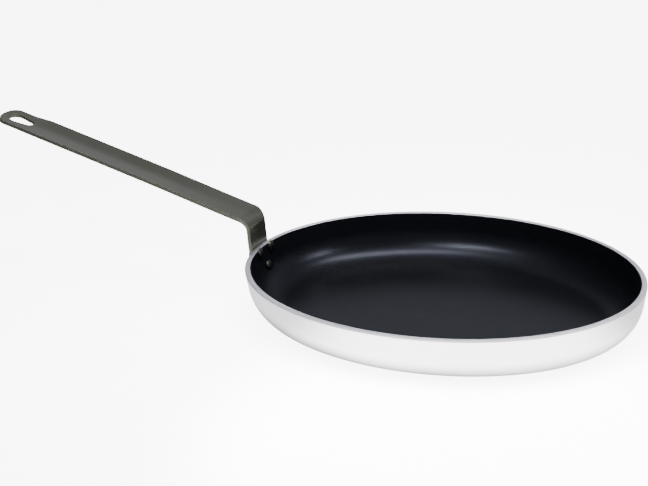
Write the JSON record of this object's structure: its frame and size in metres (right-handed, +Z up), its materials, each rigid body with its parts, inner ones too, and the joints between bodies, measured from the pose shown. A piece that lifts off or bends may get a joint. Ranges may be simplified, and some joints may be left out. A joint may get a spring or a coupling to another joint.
{
  "type": "fish frying pan",
  "caption": "Oval low-sided aluminium frying pan with a dark non-stick lining and a long riveted steel strip handle that ends in a hanging slot.",
  "frame": {"origin": "centre of the flat underside of the pan's base", "axes": "+Z up, +X along the oval's long axis away from the handle, so the handle points along -X, and +Y across"},
  "size_m": [0.6324, 0.2796, 0.1457],
  "materials": {
    "bare_aluminium": "satin, bare",
    "nonstick": "semi-matt blue-black non-stick coating",
    "grey_steel": "semi-matt dark grey coated steel",
    "rivet_steel": "dark satin steel"
  },
  "bodies": {
    "root": {"pan_body": "bare_aluminium", "nonstick_lining": "nonstick", "handle": "grey_steel", "rivet_upper_left": "rivet_steel", "rivet_upper_right": "rivet_steel", "rivet_lower": "rivet_steel"}
  },
  "joints": []
}
